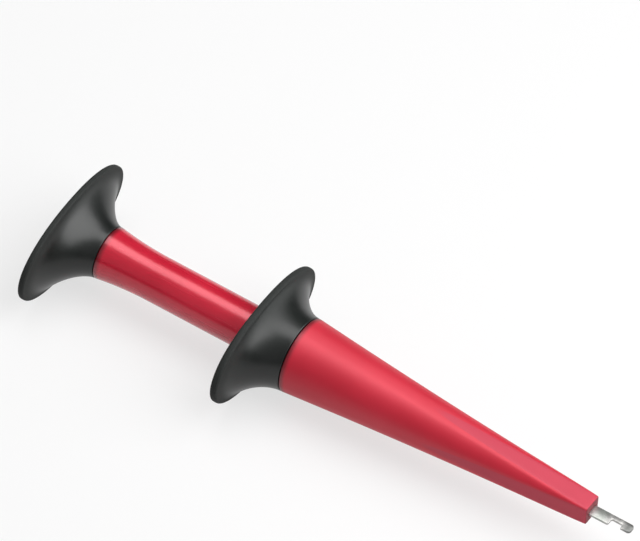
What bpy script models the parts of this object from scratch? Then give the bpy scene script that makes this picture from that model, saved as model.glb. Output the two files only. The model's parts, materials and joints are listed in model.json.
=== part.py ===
"""Grabber test hook: an insulated, spring-loaded test clip with a 4 mm plug socket.

The tool lies along +X on the lower edges of its two oval grips, wings along Y.
The thumb grip, the plunger tube, the rod and the hook slide together along the axis.
They are drawn pressed in, with the hook standing out of the nose.
Sizes are in metres. Stations are measured along the axis from the thumb seam,
where the soft thumb grip meets the red plunger tube.
"""

import math

import bmesh
import bpy

MM = 0.001

# Clearances
SEAT_GAP = 0.10 * MM
END_GAP = 0.15 * MM
RUN_GAP = 0.12 * MM
SLOT_GAP = 0.12 * MM

# Plug socket in the plunger
PLUG_WELL_RADIUS = 5.60 * MM
PLUG_PIN_RADIUS = 2.03 * MM
WELL_DEPTH = 21.6 * MM
JACK_RECESS = 5.7 * MM
CONTACT_RECESS = 0.9 * MM
CONTACT_WALL = 0.47 * MM
CONTACT_DEPTH = 19.0 * MM
CONTACT_END_WALL = 1.5 * MM
CONTACT_TAIL_RADIUS = 1.25 * MM
CONTACT_TAIL = 9.0 * MM
JACK_SLEEVE_WALL = 0.70 * MM
JACK_FLANGE = 1.5 * MM
JACK_END_WALL = 1.9 * MM
CLIP_THICKNESS = 0.7 * MM
CLIP_GROOVE = 0.25 * MM
CLIP_OPENING = 70
MOUTH_LEAD_IN = 0.4 * MM
CONTACT_LEAD_IN = 0.25 * MM
JACK_EDGE = 0.2 * MM

# Plunger tube
STEM_WALL = 0.45 * MM
TUBE_WALL = 1.45 * MM
NECK_STEP = 1.20 * MM
NECK_LENGTH = 15.0 * MM
SPIGOT_STEP = 0.50 * MM
STEM_VISIBLE = 44.45 * MM
TRAVEL = 11.8 * MM
STOP_STEP = 0.85 * MM
STOP_LENGTH = 2.5 * MM
STOP_SEAT_STEP = 0.85 * MM
STOP_CHAMFER = 0.3 * MM
PLUG_FLANGE = 1.2 * MM
PLUG_LENGTH = 6.0 * MM

# Soft oval grips
GRIP_LONG_RADIUS = 23.2 * MM
GRIP_SHORT_RADIUS = 12.9 * MM
GRIP_SQUARENESS = 2.1
THUMB_DEPTH = 10.7 * MM
THUMB_RIM = 1.7 * MM
THUMB_FULLNESS = 1.44
COLLAR_DEPTH = 10.8 * MM
COLLAR_RIM = 2.0 * MM
COLLAR_FULLNESS = 1.575
RIM_LAND = 0.6 * MM
REAR_SKIN = 0.85 * MM

# Hard cores of the grips
CORE_THICKNESS = 1.2 * MM
CORE_MARGIN = 3.8 * MM
CORE_LEDGE = 0.5 * MM
THUMB_HUB_WALL = 1.1 * MM
THUMB_HUB_LENGTH = 4.2 * MM
COLLAR_HUB_STEP = 0.75 * MM
BUSH_WALL = 0.90 * MM
BUSH_FLANGE_STEP = 0.80 * MM
BUSH_FLANGE = 0.80 * MM
SLEEVE_WALL = 1.10 * MM
SLEEVE_LIP = 1.2 * MM
SLEEVE_LENGTH = 18.1 * MM

# Nose shell
NOSE_LENGTH = 86.25 * MM
NOSE_SPIGOT_WALL = 0.90 * MM
NOSE_SPIGOT = 6.3 * MM
SEAM_SKIN = 0.88 * MM
NOSE_SAG = 0.43 * MM
NOSE_WALL = 1.6 * MM
TIP_HALF_WIDTH = 2.85 * MM
TIP_CORNER_RADIUS = 3.95 * MM
FLAT_LENGTH = 49.0 * MM
TIP_WALL = 6.5 * MM
TIP_BORE_RADIUS = 2.50 * MM
TIP_CHAMFER = 0.20 * MM
RING_SECTION = 0.90 * MM
RING_STATION = 2.7 * MM
RING_OPENING = 40

# Return spring, pressed in
SPRING_WIRE_RADIUS = 0.40 * MM
SPRING_LENGTH = 21.8 * MM
SPRING_TURNS = 9
SPRING_WALL_GAP = 0.30 * MM
SPRING_CLOSED_PITCH = 2.3 * SPRING_WIRE_RADIUS
WASHER_THICKNESS = 0.6 * MM
WASHER_WIDTH = 1.6 * MM

# Rod and hook
ROD_RADIUS = 1.0 * MM
ROD_SLEEVE_WALL = 0.55 * MM
FERRULE_RADIUS = 1.9 * MM
FERRULE_LENGTH = 10.0 * MM
FERRULE_CHAMFER = 0.3 * MM
FERRULE_BACK_FROM_TIP = 26.5 * MM
CRIMP_RADIUS = 2.2 * MM
CRIMP_LENGTH = 11.7 * MM
CRIMP_DIP = 0.2 * MM
CRIMP_HALF_WIDTH = 0.5 * MM
CRIMP_ON_TAIL = 2.0 * MM
CRIMP_ON_ROD = 2.6 * MM
BLADE_WIDTH = 3.30 * MM
BLADE_THICKNESS = 0.70 * MM
BLADE_TAIL_WIDTH = 1.6 * MM
BLADE_TAIL_LENGTH = 4.6 * MM
HOOK_REACH = 11.5 * MM
THROAT_LENGTH = 3.2 * MM
BILL_LENGTH = 2.75 * MM
BILL_DEPTH = 2.6 * MM
HOOK_STRIP = 1.35 * MM
THROAT_CORNER = 0.45 * MM
BILL_CORNER = 0.15 * MM
BILL_ROUNDING = 0.9 * MM

# Facets: an even number that is no multiple of four lays a flat facet under each grip
GRIP_STEPS = 46
SHELL_STEPS = 40
SMALL_STEPS = 22
TRUMPET_STEPS = 8
RIM_CORNER_STEPS = 2
NOSE_STATIONS = 9
SPRING_POINTS_PER_TURN = 10
SMOOTH_ANGLE = math.radians(35)

# Radii that follow from the plug well outwards
STEM_RADIUS = PLUG_WELL_RADIUS + STEM_WALL
TUBE_BORE = STEM_RADIUS - TUBE_WALL
NECK_RADIUS = STEM_RADIUS + NECK_STEP
SPIGOT_RADIUS = NECK_RADIUS - SPIGOT_STEP
STOP_SEAT_RADIUS = STEM_RADIUS - STOP_SEAT_STEP
STOP_RADIUS = STEM_RADIUS + STOP_STEP
BUSH_BORE = STEM_RADIUS + RUN_GAP
BUSH_RADIUS = BUSH_BORE + BUSH_WALL
SLEEVE_BORE = BUSH_RADIUS + SEAT_GAP
SLEEVE_RADIUS = SLEEVE_BORE + SLEEVE_WALL
NOSE_REAR_BORE = SLEEVE_RADIUS + SEAT_GAP
NOSE_SPIGOT_RADIUS = NOSE_REAR_BORE + NOSE_SPIGOT_WALL
NOSE_BACK_RADIUS = NOSE_SPIGOT_RADIUS + SEAT_GAP + SEAM_SKIN
NOSE_MAIN_BORE = STOP_RADIUS + 2 * RUN_GAP

# Stations along the axis, from the thumb seam
THUMB_SEAM = 0.0
THUMB_BACK = THUMB_SEAM - THUMB_DEPTH - THUMB_RIM
WELL_MOUTH = THUMB_BACK + 2 * END_GAP
WELL_FLOOR = WELL_MOUTH + WELL_DEPTH
COLLAR_BACK = THUMB_SEAM + STEM_VISIBLE
COLLAR_SEAM = COLLAR_BACK + COLLAR_RIM + COLLAR_DEPTH
NOSE_SPIGOT_BACK = COLLAR_SEAM - NOSE_SPIGOT
SLEEVE_BACK = COLLAR_BACK + END_GAP
SLEEVE_FRONT = SLEEVE_BACK + SLEEVE_LENGTH
NOSE_STEP = SLEEVE_FRONT + 2 * END_GAP
STOP_BACK = SLEEVE_FRONT + TRAVEL + END_GAP
STOP_FRONT = STOP_BACK + STOP_LENGTH
PLUG_FRONT = STOP_FRONT + SEAT_GAP + PLUG_FLANGE
CUP_FRONT = PLUG_FRONT + END_GAP + WASHER_THICKNESS
SPRING_BACK = CUP_FRONT + END_GAP
SPRING_FRONT = SPRING_BACK + SPRING_LENGTH
WASHER_FRONT = SPRING_FRONT + END_GAP + WASHER_THICKNESS
SPRING_SEAT = WASHER_FRONT + END_GAP
NOSE_TIP = COLLAR_SEAM + NOSE_LENGTH
HOOK_END = NOSE_TIP + HOOK_REACH
RING_CENTRE = COLLAR_SEAM + RING_STATION

# The plug socket's inner pieces
CONTACT_RADIUS = PLUG_PIN_RADIUS + CONTACT_WALL
JACK_BORE = CONTACT_RADIUS + SEAT_GAP
JACK_SLEEVE_RADIUS = JACK_BORE + JACK_SLEEVE_WALL
JACK_MOUTH = WELL_MOUTH + JACK_RECESS
CONTACT_MOUTH = JACK_MOUTH + CONTACT_RECESS
CONTACT_FRONT = CONTACT_MOUTH + CONTACT_DEPTH + CONTACT_END_WALL
JACK_INNER_END = CONTACT_FRONT + SEAT_GAP
JACK_FRONT = JACK_INNER_END + JACK_END_WALL
TAIL_END = CONTACT_FRONT + CONTACT_TAIL
CLIP_BACK = JACK_FRONT + END_GAP

# The rod and what it joins
TAIL_BORE = CONTACT_TAIL_RADIUS + SEAT_GAP
ROD_BORE = ROD_RADIUS + SEAT_GAP
CRIMP_BACK = CLIP_BACK + CLIP_THICKNESS + 2 * END_GAP
CRIMP_FRONT = CRIMP_BACK + CRIMP_LENGTH
ROD_BACK = TAIL_END + END_GAP
FERRULE_BACK = NOSE_TIP - FERRULE_BACK_FROM_TIP
FERRULE_FRONT = FERRULE_BACK + FERRULE_LENGTH
BLADE_BACK = FERRULE_FRONT - BLADE_TAIL_LENGTH
ROD_FRONT = BLADE_BACK - END_GAP
ROD_SLEEVE_RADIUS = ROD_BORE + ROD_SLEEVE_WALL
ROD_SLEEVE_BACK = CRIMP_FRONT + END_GAP
ROD_SLEEVE_FRONT = FERRULE_BACK - END_GAP

# The model's origin is under the middle of the whole tool
MIDDLE = (THUMB_BACK + HOOK_END) / 2


def start_clean():
    for old in list(bpy.data.objects):
        bpy.data.objects.remove(old, do_unlink=True)


def collection(name):
    made = bpy.data.collections.new(name)
    bpy.context.scene.collection.children.link(made)
    return made


def finish_material(name, colour, roughness, metallic=0.0):
    made = bpy.data.materials.new(name)
    made.use_nodes = True
    shader = made.node_tree.nodes["Principled BSDF"]
    shader.inputs["Base Color"].default_value = (*colour, 1.0)
    shader.inputs["Roughness"].default_value = roughness
    shader.inputs["Metallic"].default_value = metallic
    made.diffuse_color = (*colour, 1.0)
    return made


def frozen(obj):
    """The object with its modifiers worked into its mesh, shaded smooth between sharp edges."""
    bpy.context.view_layer.update()
    seen = obj.evaluated_get(bpy.context.evaluated_depsgraph_get())
    mesh = bpy.data.meshes.new_from_object(seen)
    obj.modifiers.clear()
    obj.data = mesh
    mesh.shade_smooth()
    mesh.set_sharp_from_angle(angle=SMOOTH_ANGLE)
    return obj


def placed(obj, parent, home):
    home.objects.link(obj)
    obj.parent = parent
    return obj


def turned(name, outline, steps, closed=True):
    """A turned piece. The outline is (station, radius) points, front to back along the outside.

    A closed outline then runs back to the front along the bore. An open one starts
    and ends on the axis.
    """
    points = [(radius, 0.0, station) for station, radius in outline]
    count = len(points)
    edges = [(i, i + 1) for i in range(count - 1)]
    if closed:
        edges.append((count - 1, 0))
    mesh = bpy.data.meshes.new(name)
    mesh.from_pydata(points, edges, [])
    obj = bpy.data.objects.new(name, mesh)
    screw = obj.modifiers.new("turn", "SCREW")
    screw.axis = "Z"
    screw.steps = steps
    screw.render_steps = steps
    screw.use_merge_vertices = True
    screw.merge_threshold = 0.00001
    obj.rotation_euler = (0.0, math.pi / 2, 0.0)
    return obj


def tube_outline(back, front, outer, inner, chamfer=0.0):
    """A plain tube, with its two outer edges chamfered."""
    if not chamfer:
        return [(front, outer), (back, outer), (back, inner), (front, inner)]
    return [
        (front, outer - chamfer),
        (front - chamfer, outer),
        (back + chamfer, outer),
        (back, outer - chamfer),
        (back, inner),
        (front, inner),
    ]


def lofted(name, loop_at, steps):
    """A closed skin round the axis. loop_at(angle) is its section there, as (station, radius)."""
    mesh = bpy.data.meshes.new(name)
    shape = bmesh.new()
    rings = []
    for step in range(steps):
        angle = 2 * math.pi * step / steps
        ring = [
            shape.verts.new((station, radius * math.cos(angle), radius * math.sin(angle)))
            for station, radius in loop_at(angle)
        ]
        rings.append(ring)
    count = len(rings[0])
    for step in range(steps):
        here = rings[step]
        there = rings[(step + 1) % steps]
        for i in range(count):
            j = (i + 1) % count
            shape.faces.new((here[i], here[j], there[j], there[i]))
    bmesh.ops.recalc_face_normals(shape, faces=shape.faces)
    shape.to_mesh(mesh)
    shape.free()
    return bpy.data.objects.new(name, mesh)


def flat_plate(name, outline, thickness):
    """A flat piece cut to an outline of (x, y) points, thick both ways from its plane."""
    curve = bpy.data.curves.new(name, "CURVE")
    curve.dimensions = "2D"
    curve.fill_mode = "BOTH"
    curve.extrude = thickness / 2
    spline = curve.splines.new("POLY")
    spline.points.add(len(outline) - 1)
    for point, (x, y) in zip(spline.points, outline):
        point.co = (x, y, 0.0, 1.0)
    spline.use_cyclic_u = True
    drawn = bpy.data.objects.new(name + "_outline", curve)
    bpy.context.scene.collection.objects.link(drawn)
    bpy.context.view_layer.update()
    seen = drawn.evaluated_get(bpy.context.evaluated_depsgraph_get())
    mesh = bpy.data.meshes.new_from_object(seen)
    mesh.name = name
    shape = bmesh.new()
    shape.from_mesh(mesh)
    bmesh.ops.remove_doubles(shape, verts=shape.verts, dist=0.000001)
    bmesh.ops.recalc_face_normals(shape, faces=shape.faces)
    shape.to_mesh(mesh)
    shape.free()
    bpy.data.objects.remove(drawn, do_unlink=True)
    return bpy.data.objects.new(name, mesh)


def arc(centre, radius, start, end, steps):
    """Points on an arc from one angle to another, in degrees."""
    points = []
    for step in range(steps + 1):
        angle = math.radians(start + (end - start) * step / steps)
        points.append((centre[0] + radius * math.cos(angle), centre[1] + radius * math.sin(angle)))
    return points


def split_ring(name, inner, outer, thickness, station, opening):
    """A flat ring with a gap of so many degrees, square to the axis."""
    outline = arc((0, 0), outer, opening / 2, 360 - opening / 2, SMALL_STEPS)
    outline += arc((0, 0), inner, 360 - opening / 2, opening / 2, SMALL_STEPS)
    obj = flat_plate(name, outline, thickness)
    obj.rotation_euler = (0.0, math.pi / 2, 0.0)
    obj.location = (station, 0.0, 0.0)
    return obj


def block_cutter(name, size, place, turn, parent, home):
    """A box that cuts, of full size, leaned by the second angle and then rolled by the first."""
    mesh = bpy.data.meshes.new(name)
    shape = bmesh.new()
    bmesh.ops.create_cube(shape, size=1.0)
    bmesh.ops.scale(shape, vec=size, verts=shape.verts)
    shape.to_mesh(mesh)
    shape.free()
    cutter = bpy.data.objects.new(name, mesh)
    cutter.location = place
    cutter.rotation_mode = "ZYX"
    cutter.rotation_euler = turn
    cutter.hide_render = True
    cutter.display_type = "WIRE"
    return placed(cutter, parent, home)


def cut(obj, cutter):
    knife = obj.modifiers.new(cutter.name, "BOOLEAN")
    knife.operation = "DIFFERENCE"
    knife.solver = "EXACT"
    knife.object = cutter


def rim_radius(angle):
    """Half the width of a grip's oval, at an angle from its long axis."""
    across = abs(math.cos(angle) / GRIP_LONG_RADIUS) ** GRIP_SQUARENESS
    upright = abs(math.sin(angle) / GRIP_SHORT_RADIUS) ** GRIP_SQUARENESS
    return (across + upright) ** (-1 / GRIP_SQUARENESS)


def axis_height():
    """How high the axis lies when the tool stands on the lowest facets of its grips."""
    half_step = math.pi / GRIP_STEPS
    return rim_radius(math.pi / 2 - half_step) * math.cos(half_step)


def core_radius(angle, hub_radius):
    """The edge of a hard core inside a grip."""
    return max(rim_radius(angle) - CORE_MARGIN, hub_radius + CORE_LEDGE)


def trumpet(angle, seam, seam_radius, depth, rim, fullness):
    """A grip's front from its round seam out to its oval rim, then over the rim's land to its back."""
    corner = (rim - RIM_LAND) / 2
    edge = rim_radius(angle) - corner
    points = []
    for step in range(TRUMPET_STEPS + 1):
        turn = math.pi / 2 * step / TRUMPET_STEPS
        fall = math.sin(turn) ** (2 / fullness)
        spread = 1 - max(math.cos(turn), 0.0) ** (2 / fullness)
        points.append((seam - depth * fall, seam_radius + (edge - seam_radius) * spread))
    centres = (seam - depth - corner, seam - depth - rim + corner)
    for quarter, centre in enumerate(centres):
        for step in range(1 - quarter, RIM_CORNER_STEPS + 1):
            turn = math.pi / 2 * (quarter + step / RIM_CORNER_STEPS)
            points.append((centre + corner * math.cos(turn), edge + corner * math.sin(turn)))
    return points


def nose_radius(station):
    """The nose's round outside: a cone that sags a little."""
    share = (station - COLLAR_SEAM) / NOSE_LENGTH
    straight = NOSE_BACK_RADIUS + (TIP_CORNER_RADIUS - NOSE_BACK_RADIUS) * share
    return straight - 4 * NOSE_SAG * share * (1 - share)


def spring_outer_radius():
    """The return spring's outside, and its washers', in the nose's bore."""
    return nose_radius(SPRING_SEAT) - NOSE_WALL - SPRING_WALL_GAP


def washer_bore_radius():
    return spring_outer_radius() - WASHER_WIDTH


def neck_radius(station):
    """The plunger tube's outside: the stem, widening towards the thumb seam."""
    share = max(0.0, 1 - (station - THUMB_SEAM) / NECK_LENGTH)
    return STEM_RADIUS + NECK_STEP * share**2


def thumb_grip():
    """Soft thumb grip, moulded round its core and the plunger tube's back end."""
    bore = SPIGOT_RADIUS + SEAT_GAP
    hub = SPIGOT_RADIUS + SEAT_GAP + THUMB_HUB_WALL
    plate_back = THUMB_BACK + REAR_SKIN
    plate_front = plate_back + CORE_THICKNESS + 2 * SEAT_GAP
    hub_front = plate_front + THUMB_HUB_LENGTH

    def section(angle):
        plate = core_radius(angle, hub) + SEAT_GAP
        outside = trumpet(angle, THUMB_SEAM, NECK_RADIUS, THUMB_DEPTH, THUMB_RIM, THUMB_FULLNESS)
        inside = [
            (THUMB_BACK, bore),
            (plate_back, bore),
            (plate_back, plate),
            (plate_front, plate),
            (plate_front, hub + SEAT_GAP),
            (hub_front, hub + SEAT_GAP),
            (hub_front, bore),
            (THUMB_SEAM, bore),
        ]
        return outside + inside

    return lofted("thumb_grip", section, GRIP_STEPS)


def thumb_core():
    """Hard oval plate with a hub, pressed on the plunger tube under the soft grip."""
    bore = SPIGOT_RADIUS + SEAT_GAP
    hub = bore + THUMB_HUB_WALL
    back = THUMB_BACK + REAR_SKIN + SEAT_GAP
    front = back + CORE_THICKNESS

    def section(angle):
        plate = core_radius(angle, hub)
        return [
            (front + THUMB_HUB_LENGTH, hub),
            (front, hub),
            (front, plate),
            (back, plate),
            (back, bore),
            (front + THUMB_HUB_LENGTH, bore),
        ]

    return lofted("thumb_core", section, GRIP_STEPS)


def finger_grip():
    """Soft finger grip, moulded round the collar core and the nose shell's back end."""
    hub = SLEEVE_RADIUS + COLLAR_HUB_STEP
    bore = hub + SEAT_GAP
    plate_back = COLLAR_BACK + REAR_SKIN
    plate_front = plate_back + CORE_THICKNESS + 2 * SEAT_GAP
    spigot_back = NOSE_SPIGOT_BACK - END_GAP
    spigot = NOSE_SPIGOT_RADIUS + SEAT_GAP

    def section(angle):
        plate = core_radius(angle, hub) + SEAT_GAP
        outside = trumpet(
            angle, COLLAR_SEAM, NOSE_BACK_RADIUS, COLLAR_DEPTH, COLLAR_RIM, COLLAR_FULLNESS
        )
        inside = [
            (COLLAR_BACK, bore),
            (plate_back, bore),
            (plate_back, plate),
            (plate_front, plate),
            (plate_front, bore),
            (spigot_back, bore),
            (spigot_back, spigot),
            (COLLAR_SEAM, spigot),
        ]
        return outside + inside

    return lofted("finger_grip", section, GRIP_STEPS)


def collar_core():
    """Hard oval plate with the sleeve that plugs into the nose shell and carries the bush."""
    hub = SLEEVE_RADIUS + COLLAR_HUB_STEP
    back = COLLAR_BACK + REAR_SKIN + SEAT_GAP
    front = back + CORE_THICKNESS
    hub_front = NOSE_SPIGOT_BACK - END_GAP
    ring = RING_SECTION / 2 + SEAT_GAP
    groove = SLEEVE_RADIUS - RING_SECTION / 2
    lip_back = SLEEVE_FRONT - SLEEVE_LIP
    lip = STEM_RADIUS + 2 * RUN_GAP
    recess = BUSH_RADIUS + BUSH_FLANGE_STEP + SEAT_GAP
    recess_front = SLEEVE_BACK + BUSH_FLANGE + SEAT_GAP

    def section(angle):
        plate = core_radius(angle, hub)
        return [
            (SLEEVE_FRONT, SLEEVE_RADIUS),
            (RING_CENTRE + ring, SLEEVE_RADIUS),
            (RING_CENTRE + ring, groove),
            (RING_CENTRE - ring, groove),
            (RING_CENTRE - ring, SLEEVE_RADIUS),
            (hub_front, SLEEVE_RADIUS),
            (hub_front, hub),
            (front, hub),
            (front, plate),
            (back, plate),
            (back, hub),
            (SLEEVE_BACK, hub),
            (SLEEVE_BACK, recess),
            (recess_front, recess),
            (recess_front, SLEEVE_BORE),
            (lip_back, SLEEVE_BORE),
            (lip_back, lip),
            (SLEEVE_FRONT, lip),
        ]

    return lofted("collar_core", section, GRIP_STEPS)


def guide_bush():
    """Plain bearing for the stem, put in from behind, with a flange at its back."""
    flange = BUSH_RADIUS + BUSH_FLANGE_STEP
    flange_front = SLEEVE_BACK + BUSH_FLANGE
    front = SLEEVE_FRONT - SLEEVE_LIP - SEAT_GAP
    outline = [
        (front, BUSH_RADIUS),
        (flange_front, BUSH_RADIUS),
        (flange_front, flange),
        (SLEEVE_BACK, flange),
        (SLEEVE_BACK, BUSH_BORE),
        (front, BUSH_BORE),
    ]
    return turned("guide_bush", outline, SHELL_STEPS)


def snap_ring():
    """Split ring that locks the collar core in the nose shell."""
    inner = SLEEVE_RADIUS - RING_SECTION / 2 + SEAT_GAP
    outer = NOSE_REAR_BORE + RING_SECTION / 2 - SEAT_GAP
    return split_ring("snap_ring", inner, outer, RING_SECTION, RING_CENTRE, RING_OPENING)


def nose_shell(parent, cutters):
    """Long tapered nose: round at the collar, with four flats that grow towards the tip."""
    stations = [
        NOSE_TIP - (NOSE_LENGTH - END_GAP) * (step / NOSE_STATIONS)
        for step in range(NOSE_STATIONS + 1)
    ]
    outside = [(station, nose_radius(station)) for station in stations[1:]]
    rounded = [
        (NOSE_TIP, TIP_CORNER_RADIUS - TIP_CHAMFER),
        (NOSE_TIP - TIP_CHAMFER, nose_radius(NOSE_TIP - TIP_CHAMFER)),
    ]
    seam = COLLAR_SEAM + END_GAP
    main_front = CUP_FRONT + END_GAP
    seat_radius = spring_outer_radius() + SPRING_WALL_GAP
    ring = RING_SECTION / 2 + SEAT_GAP
    ring_radius = NOSE_REAR_BORE + RING_SECTION / 2
    spigot = [
        (seam, NOSE_SPIGOT_RADIUS),
        (NOSE_SPIGOT_BACK, NOSE_SPIGOT_RADIUS),
    ]
    bore = [
        (NOSE_SPIGOT_BACK, NOSE_REAR_BORE),
        (RING_CENTRE - ring, NOSE_REAR_BORE),
        (RING_CENTRE - ring, ring_radius),
        (RING_CENTRE + ring, ring_radius),
        (RING_CENTRE + ring, NOSE_REAR_BORE),
        (NOSE_STEP, NOSE_REAR_BORE),
        (NOSE_STEP, NOSE_MAIN_BORE),
        (main_front, NOSE_MAIN_BORE),
        (SPRING_SEAT, seat_radius),
        (SPRING_SEAT, washer_bore_radius()),
        (NOSE_TIP - TIP_WALL, TIP_BORE_RADIUS),
        (NOSE_TIP - TIP_WALL, 0.0),
    ]
    outline = [(NOSE_TIP, 0.0)] + rounded + outside + spigot + bore
    shell = turned("nose_shell", outline, SHELL_STEPS, closed=False)

    start = NOSE_TIP - FLAT_LENGTH
    lean = math.atan2(nose_radius(start) - TIP_HALF_WIDTH, FLAT_LENGTH)
    block = (1.6 * FLAT_LENGTH, 5 * TIP_CORNER_RADIUS, 2 * TIP_CORNER_RADIUS)
    reach = block[2] / 2
    for side in range(4):
        roll = side * math.pi / 2
        out = TIP_HALF_WIDTH + reach * math.cos(lean)
        along = NOSE_TIP + reach * math.sin(lean)
        place = (along, -out * math.sin(roll), out * math.cos(roll))
        cutter = block_cutter("flat_cutter_%d" % side, block, place, (roll, lean, 0.0), parent, cutters)
        cut(shell, cutter)
    slot = (
        3 * TIP_WALL,
        BLADE_WIDTH + 2 * SLOT_GAP,
        BLADE_THICKNESS + 2 * SLOT_GAP,
    )
    cut(shell, block_cutter("slot_cutter", slot, (NOSE_TIP, 0.0, 0.0), (0.0, 0.0, 0.0), parent, cutters))
    return shell


def plunger_tube():
    """Red tube: stem and widened neck, with the plug well in its back."""
    neck = [THUMB_SEAM + NECK_LENGTH * step / 5 for step in range(5, 0, -1)]
    seam = THUMB_SEAM + END_GAP
    outline = [
        (STOP_FRONT, STOP_SEAT_RADIUS),
        (STOP_BACK - END_GAP, STOP_SEAT_RADIUS),
        (STOP_BACK - END_GAP, STEM_RADIUS),
    ]
    outline += [(station, neck_radius(station)) for station in neck]
    outline += [
        (seam, NECK_RADIUS),
        (seam, SPIGOT_RADIUS),
        (WELL_MOUTH, SPIGOT_RADIUS),
        (WELL_MOUTH, PLUG_WELL_RADIUS + MOUTH_LEAD_IN),
        (WELL_MOUTH + MOUTH_LEAD_IN, PLUG_WELL_RADIUS),
        (WELL_FLOOR, PLUG_WELL_RADIUS),
        (WELL_FLOOR, TUBE_BORE),
        (STOP_FRONT, TUBE_BORE),
    ]
    return turned("plunger_tube", outline, SHELL_STEPS)


def plunger_stop():
    """Ring on the stem's front end that meets the collar's lip when the hook is in."""
    bore = STOP_SEAT_RADIUS + SEAT_GAP
    outline = tube_outline(STOP_BACK, STOP_FRONT, STOP_RADIUS, bore, STOP_CHAMFER)
    return turned("plunger_stop", outline, SHELL_STEPS)


def rod_plug():
    """Insulating plug in the stem's front end. It holds the stop on and centres the rod."""
    plug = TUBE_BORE - SEAT_GAP
    flange_back = STOP_FRONT + SEAT_GAP
    bore = ROD_SLEEVE_RADIUS + SEAT_GAP
    outline = [
        (PLUG_FRONT, STOP_RADIUS - STOP_STEP),
        (flange_back, STOP_RADIUS - STOP_STEP),
        (flange_back, plug),
        (flange_back - PLUG_LENGTH, plug),
        (flange_back - PLUG_LENGTH, bore),
        (PLUG_FRONT, bore),
    ]
    return turned("rod_plug", outline, SMALL_STEPS)


def spring_cup():
    """Washer between the plug and the spring's back end."""
    back = PLUG_FRONT + END_GAP
    inner = ROD_SLEEVE_RADIUS + 2 * SEAT_GAP
    outline = tube_outline(back, CUP_FRONT, spring_outer_radius(), inner)
    return turned("spring_cup", outline, SMALL_STEPS)


def spring_washer():
    """Washer on the nose shell's shoulder, under the spring's front end."""
    back = WASHER_FRONT - WASHER_THICKNESS
    outline = tube_outline(back, WASHER_FRONT, spring_outer_radius(), washer_bore_radius())
    return turned("spring_washer", outline, SMALL_STEPS)


def return_spring():
    """Coil spring with a closed turn at each end."""
    radius = spring_outer_radius() - SPRING_WIRE_RADIUS
    length = SPRING_LENGTH - 2 * SPRING_WIRE_RADIUS
    open_turns = SPRING_TURNS - 2
    open_pitch = (length - 2 * SPRING_CLOSED_PITCH) / open_turns
    curve = bpy.data.curves.new("return_spring", "CURVE")
    curve.dimensions = "3D"
    curve.bevel_depth = SPRING_WIRE_RADIUS
    curve.bevel_resolution = 2
    curve.use_fill_caps = True
    spline = curve.splines.new("POLY")
    count = SPRING_TURNS * SPRING_POINTS_PER_TURN
    spline.points.add(count)
    for i in range(count + 1):
        turn = i / SPRING_POINTS_PER_TURN
        middle = min(max(turn - 1, 0.0), open_turns)
        along = SPRING_CLOSED_PITCH * (turn - middle) + open_pitch * middle
        angle = 2 * math.pi * turn
        spot = (
            SPRING_BACK + SPRING_WIRE_RADIUS + along,
            radius * math.cos(angle),
            radius * math.sin(angle),
        )
        spline.points[i].co = (*spot, 1.0)
    return bpy.data.objects.new("return_spring", curve)


def jack_insulator():
    """Insulating socket body: a sleeve round the contact, on a flange at the well's floor."""
    flange_front = WELL_FLOOR - SEAT_GAP
    flange_back = flange_front - JACK_FLANGE
    body = TUBE_BORE - SEAT_GAP
    outline = [
        (JACK_FRONT, body),
        (flange_front, body),
        (flange_front, PLUG_WELL_RADIUS - SEAT_GAP),
        (flange_back, PLUG_WELL_RADIUS - SEAT_GAP),
        (flange_back, JACK_SLEEVE_RADIUS),
        (JACK_MOUTH + JACK_EDGE, JACK_SLEEVE_RADIUS),
        (JACK_MOUTH, JACK_SLEEVE_RADIUS - JACK_EDGE),
        (JACK_MOUTH, JACK_BORE),
        (JACK_INNER_END, JACK_BORE),
        (JACK_INNER_END, TAIL_BORE),
        (JACK_FRONT, TAIL_BORE),
    ]
    return turned("jack_insulator", outline, SMALL_STEPS)


def contact_socket():
    """Plated contact: a tube that takes the 4 mm pin, with a grooved tail for the rod."""
    groove = CONTACT_TAIL_RADIUS - CLIP_GROOVE
    outline = [
        (TAIL_END, 0.0),
        (TAIL_END, CONTACT_TAIL_RADIUS),
        (CLIP_BACK + CLIP_THICKNESS + SEAT_GAP, CONTACT_TAIL_RADIUS),
        (CLIP_BACK + CLIP_THICKNESS + SEAT_GAP, groove),
        (CLIP_BACK - SEAT_GAP, groove),
        (CLIP_BACK - SEAT_GAP, CONTACT_TAIL_RADIUS),
        (CONTACT_FRONT, CONTACT_TAIL_RADIUS),
        (CONTACT_FRONT, CONTACT_RADIUS),
        (CONTACT_MOUTH, CONTACT_RADIUS),
        (CONTACT_MOUTH, PLUG_PIN_RADIUS + CONTACT_LEAD_IN),
        (CONTACT_MOUTH + CONTACT_LEAD_IN, PLUG_PIN_RADIUS),
        (CONTACT_MOUTH + CONTACT_DEPTH, PLUG_PIN_RADIUS),
        (CONTACT_MOUTH + CONTACT_DEPTH, 0.0),
    ]
    return turned("contact_socket", outline, SMALL_STEPS, closed=False)


def contact_clip():
    """Split clip in the tail's groove, which keeps the contact in the insulator."""
    inner = CONTACT_TAIL_RADIUS - CLIP_GROOVE + SEAT_GAP
    centre = CLIP_BACK + CLIP_THICKNESS / 2
    outer = 2 * CONTACT_TAIL_RADIUS
    return split_ring("contact_clip", inner, outer, CLIP_THICKNESS, centre, CLIP_OPENING)


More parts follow.
